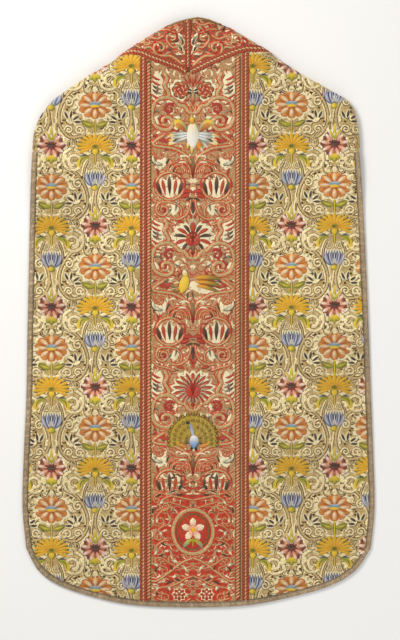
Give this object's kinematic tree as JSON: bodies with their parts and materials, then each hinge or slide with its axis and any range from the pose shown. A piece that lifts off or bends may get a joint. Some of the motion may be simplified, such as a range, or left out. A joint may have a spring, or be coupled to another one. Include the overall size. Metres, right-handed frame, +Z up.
{
  "type": "chasuble",
  "caption": "Embroidered Roman-cut chasuble laid flat with its back up, with a column orphrey, a yoke, braided edges and a front folded under it at the shoulders.",
  "frame": {"origin": "on the surface that it lies on, below the middle of its outline", "axes": "+Y towards the neck, +Z up out of the back, +X to the right as seen from above"},
  "size_m": [0.6682, 1.1199, 0.0247],
  "materials": {
    "ivory_satin": "ivory silk satin with a soft sheen, stiffened behind",
    "red_ground": "ivory satin almost covered by red silk and tan metal thread",
    "metal_thread": "couched tarnished metal thread, satin gloss",
    "silk_floss": "laid silk floss in many colours, glossy along its strands",
    "red_braid": "woven braid of red silk and metal cord",
    "metal_braid": "tarnished woven metal galloon",
    "neck_braid": "golden brown narrow braid"
  },
  "bodies": {
    "root": {"back_side_left": "ivory_satin", "back_side_right": "ivory_satin", "back_column": "red_ground", "back_yoke_left": "red_ground", "back_yoke_right": "red_ground", "column_braid_left": "red_braid", "column_braid_right": "red_braid", "yoke_braid_left": "red_braid", "yoke_braid_right": "red_braid", "yoke_braid_middle": "red_braid", "edge_braid_back": "metal_braid", "neck_binding_back": "neck_braid", "front_side_left": "ivory_satin", "front_side_right": "ivory_satin", "front_column": "red_ground", "front_yoke_left": "red_ground", "front_yoke_right": "red_ground", "front_column_braid_left": "red_braid", "front_column_braid_right": "red_braid", "front_yoke_braid_left": "red_braid", "front_yoke_braid_right": "red_braid", "edge_braid_front": "metal_braid", "neck_binding_left": "neck_braid", "neck_binding_right": "neck_braid"}
  },
  "joints": []
}
